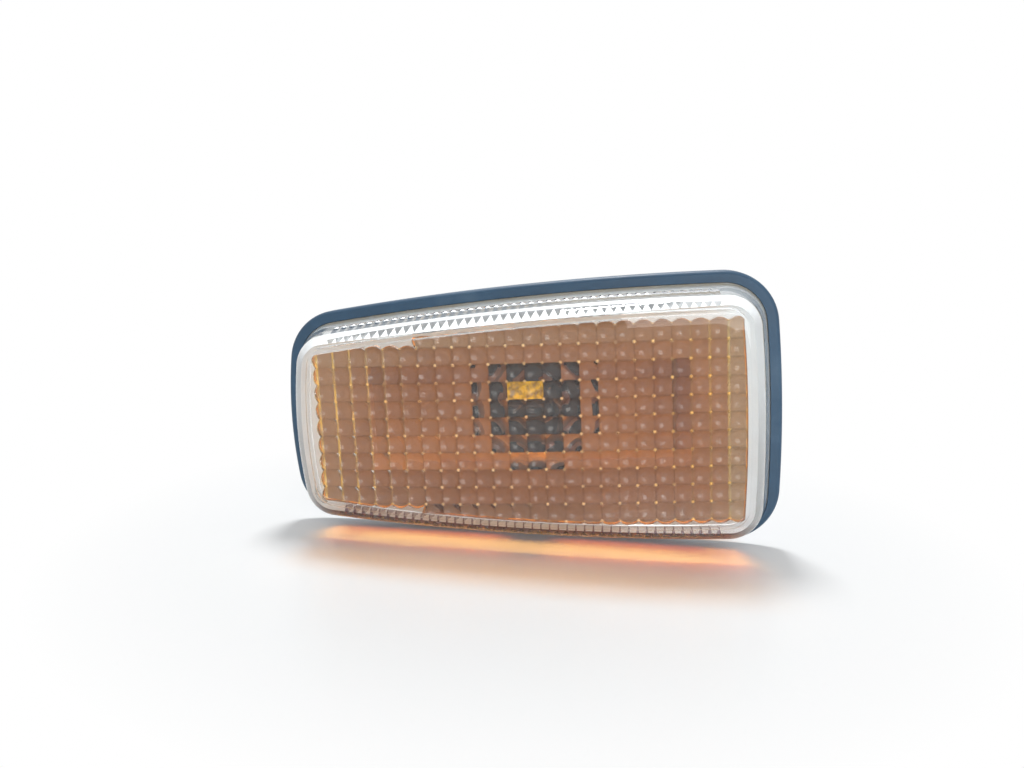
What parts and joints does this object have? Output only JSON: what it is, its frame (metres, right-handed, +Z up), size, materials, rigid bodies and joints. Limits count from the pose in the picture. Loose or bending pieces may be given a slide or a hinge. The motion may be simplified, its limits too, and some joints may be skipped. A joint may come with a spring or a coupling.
{
  "type": "side repeater lamp",
  "caption": "Car side repeater lamp: clear tapered lens over an amber pillow-optic insert, rubber gasket, clip-in housing and a twist-lock holder with a wedge-base bulb and plug socket.",
  "frame": {"origin": "middle of the lamp on the panel face, the plane where the gasket lies on the car body", "axes": "+X along the lamp to its tall end, -Y the way the lens faces out of the car, +Z up"},
  "size_m": [0.093, 0.0504, 0.05],
  "materials": {
    "clear_lens": "clear polished acrylic",
    "amber_insert": "amber polished acrylic",
    "gasket_rubber": "matte",
    "pale_housing": "satin",
    "dark_holder": "satin",
    "seal_rubber": "matte",
    "contact_brass": "tinned strip",
    "bulb_glass": "clear",
    "lead_wire": "drawn wire",
    "filament_wire": "wound wire"
  },
  "bodies": {
    "root": {"outer_lens": "clear_lens", "amber_lens": "amber_insert", "gasket": "gasket_rubber", "housing": "pale_housing", "bulb_holder": "dark_holder", "holder_seal": "seal_rubber", "contact_left": "contact_brass", "contact_right": "contact_brass", "bulb_glass": "bulb_glass", "lead_left": "lead_wire", "lead_right": "lead_wire", "bulb_filament": "filament_wire"}
  },
  "joints": []
}
